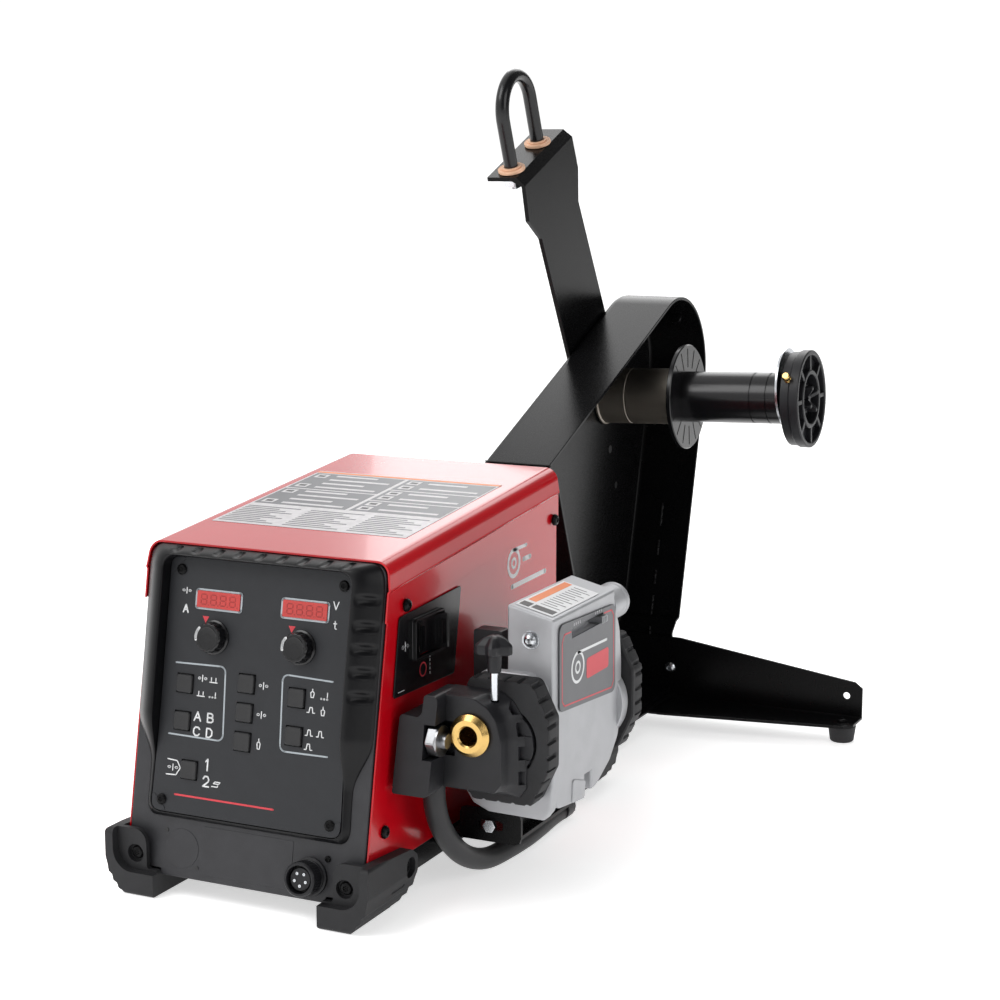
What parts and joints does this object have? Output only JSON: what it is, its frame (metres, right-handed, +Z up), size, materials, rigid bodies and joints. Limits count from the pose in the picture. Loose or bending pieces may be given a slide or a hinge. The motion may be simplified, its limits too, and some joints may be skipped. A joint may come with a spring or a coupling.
{
  "type": "bench wire feeder",
  "caption": "Bench welding wire feeder: sloped control box with knobs and keys, side-mounted roll drive, reel spindle on a sheet-metal stand, and a lifting eye.",
  "frame": {"origin": "centre of the footprint, on the surface that the feet stand on", "axes": "+Z up, +Y from the control panel to the reel stand, +X to the wire drive's side"},
  "size_m": [0.4524, 0.7942, 0.6688],
  "materials": {
    "red_paint": "gloss red powder coat",
    "black_paint": "semi-gloss black powder coat",
    "black_plastic": "moulded black plastic with a fine grain",
    "faceplate_film": "printed matte overlay film",
    "rubber": "moulded black rubber",
    "display_glass": "dark red display window",
    "cast_aluminium": "blasted cast aluminium, painted grey",
    "badge_film": "dark grey label film with a fine red border",
    "steel": "machined steel",
    "brass": "turned brass",
    "circuit_board": "green solder mask"
  },
  "bodies": {
    "frame": {"right_side_panel": "red_paint", "left_side_panel": "red_paint", "top_cover": "red_paint", "rear_panel": "red_paint", "base_pan": "black_paint", "mount_bracket": "black_paint", "drive_motor": "black_paint", "mast": "black_paint", "bail": "black_paint", "u_bolt": "black_paint", "rear_leg_right": "black_paint", "rear_leg_left": "black_paint", "front_bezel": "black_plastic", "switch_plate": "black_plastic", "front_housing": "black_plastic", "trigger_connector": "black_plastic", "cable_clamp": "black_plastic", "faceplate": "faceplate_film", "foot_front_right": "rubber", "foot_front_left": "rubber", "foot_rear_right": "rubber", "foot_rear_left": "rubber", "front_bumper": "rubber", "rear_bumper": "rubber", "leg_foot_right": "rubber", "leg_foot_left": "rubber", "power_cable": "rubber", "display_left": "display_glass", "display_right": "display_glass", "gearbox_housing": "cast_aluminium", "feed_plate": "cast_aluminium", "badge_plate": "badge_film", "clamp_bolt": "steel", "spindle_shaft": "steel", "control_connector": "steel", "gun_bushing": "brass", "gas_fitting": "brass", "gas_solenoid": "brass", "control_board": "circuit_board"},
    "button_hot_wire": {"button_hot_wire": "black_plastic"},
    "button_cold_feed": {"button_cold_feed": "black_plastic"},
    "button_trigger_mode": {"button_trigger_mode": "black_plastic"},
    "button_gas_purge": {"button_gas_purge": "black_plastic"},
    "button_test_mode": {"button_test_mode": "black_plastic"},
    "button_preflow": {"button_preflow": "black_plastic"},
    "button_postflow": {"button_postflow": "black_plastic"},
    "button_procedure": {"button_procedure": "black_plastic"},
    "knob_left": {"knob_left": "black_plastic"},
    "knob_right": {"knob_right": "black_plastic"},
    "power_rocker": {"power_rocker": "black_plastic"},
    "gear_selector": {"gear_selector": "steel"},
    "clamp_knob": {"clamp_knob": "black_plastic"},
    "drive_roll_front": {"drive_roll_front": "steel"},
    "drive_roll_rear": {"drive_roll_rear": "steel"},
    "pressure_arm": {"pressure_arm": "black_plastic"},
    "pressure_roll_front": {"pressure_roll_front": "steel"},
    "pressure_roll_rear": {"pressure_roll_rear": "steel"},
    "brake_hub": {"brake_hub": "black_plastic"},
    "retaining_collar": {"retaining_collar": "black_plastic"},
    "wing_nut": {"wing_nut": "black_plastic"}
  },
  "joints": [
    {"name": "knob_left_turn", "type": "hinge", "parent": "frame", "child": "knob_left", "pos_m": [-0.12375, -0.36132, 0.21222], "axis": [0, -0.9839, 0.1789], "continuous": true},
    {"name": "knob_right_turn", "type": "hinge", "parent": "frame", "child": "knob_right", "pos_m": [-0.04375, -0.36132, 0.21222], "axis": [0, -0.9839, 0.1789], "continuous": true},
    {"name": "button_hot_wire_press", "type": "slide", "parent": "frame", "child": "button_hot_wire", "axis": [0, 0.9839, -0.1789], "range_m": [0, 0.001], "stiffness_N_per_m": 400, "springref_m": -0.0005},
    {"name": "button_cold_feed_press", "type": "slide", "parent": "frame", "child": "button_cold_feed", "axis": [0, 0.9839, -0.1789], "range_m": [0, 0.001], "stiffness_N_per_m": 400, "springref_m": -0.0005},
    {"name": "button_trigger_mode_press", "type": "slide", "parent": "frame", "child": "button_trigger_mode", "axis": [0, 0.9839, -0.1789], "range_m": [0, 0.001], "stiffness_N_per_m": 400, "springref_m": -0.0005},
    {"name": "button_gas_purge_press", "type": "slide", "parent": "frame", "child": "button_gas_purge", "axis": [0, 0.9839, -0.1789], "range_m": [0, 0.001], "stiffness_N_per_m": 400, "springref_m": -0.0005},
    {"name": "button_test_mode_press", "type": "slide", "parent": "frame", "child": "button_test_mode", "axis": [0, 0.9839, -0.1789], "range_m": [0, 0.001], "stiffness_N_per_m": 400, "springref_m": -0.0005},
    {"name": "button_preflow_press", "type": "slide", "parent": "frame", "child": "button_preflow", "axis": [0, 0.9839, -0.1789], "range_m": [0, 0.001], "stiffness_N_per_m": 400, "springref_m": -0.0005},
    {"name": "button_postflow_press", "type": "slide", "parent": "frame", "child": "button_postflow", "axis": [0, 0.9839, -0.1789], "range_m": [0, 0.001], "stiffness_N_per_m": 400, "springref_m": -0.0005},
    {"name": "button_procedure_press", "type": "slide", "parent": "frame", "child": "button_procedure", "axis": [0, 0.9839, -0.1789], "range_m": [0, 0.001], "stiffness_N_per_m": 400, "springref_m": -0.0005},
    {"name": "power_rocker_tilt", "type": "hinge", "parent": "frame", "child": "power_rocker", "pos_m": [0.02725, -0.27841, 0.213], "axis": [0, 0, 1], "range_deg": [0, 14]},
    {"name": "gear_selector_slide", "type": "slide", "parent": "frame", "child": "gear_selector", "axis": [0, -1, 0], "range_m": [0, 0.05]},
    {"name": "clamp_knob_turn", "type": "hinge", "parent": "frame", "child": "clamp_knob", "pos_m": [0.10125, -0.30541, 0.207], "axis": [0, 0, 1], "continuous": true},
    {"name": "drive_roll_front_spin", "type": "hinge", "parent": "frame", "child": "drive_roll_front", "pos_m": [0.08525, -0.22341, 0.1326], "axis": [1, 0, 0], "continuous": true},
    {"name": "drive_roll_rear_spin", "type": "hinge", "parent": "frame", "child": "drive_roll_rear", "pos_m": [0.08525, -0.17341, 0.1326], "axis": [1, 0, 0], "continuous": true},
    {"name": "pressure_arm_lift", "type": "hinge", "parent": "frame", "child": "pressure_arm", "pos_m": [0.07125, -0.13841, 0.174], "axis": [-1, 0, 0], "range_deg": [0, 40]},
    {"name": "pressure_roll_front_spin", "type": "hinge", "parent": "pressure_arm", "child": "pressure_roll_front", "pos_m": [0.08525, -0.22341, 0.1634], "axis": [1, 0, 0], "continuous": true},
    {"name": "pressure_roll_rear_spin", "type": "hinge", "parent": "pressure_arm", "child": "pressure_roll_rear", "pos_m": [0.08525, -0.17341, 0.1634], "axis": [1, 0, 0], "continuous": true},
    {"name": "brake_hub_spin", "type": "hinge", "parent": "frame", "child": "brake_hub", "pos_m": [0.09614, 0.26759, 0.34628], "axis": [0.9994, 0, 0.0349], "continuous": true},
    {"name": "retaining_collar_slide", "type": "slide", "parent": "brake_hub", "child": "retaining_collar", "axis": [0.9994, 0, 0.0349], "range_m": [0, 0.06]},
    {"name": "wing_nut_turn", "type": "hinge", "parent": "frame", "child": "wing_nut", "pos_m": [0.1661, 0.26759, 0.34873], "axis": [0.9994, 0, 0.0349], "continuous": true}
  ],
  "couplings": [
    {"joint": "drive_roll_rear_spin", "follows": "drive_roll_front_spin", "ratio": 1},
    {"joint": "pressure_roll_front_spin", "follows": "drive_roll_front_spin", "ratio": -1},
    {"joint": "pressure_roll_rear_spin", "follows": "drive_roll_front_spin", "ratio": -1}
  ]
}
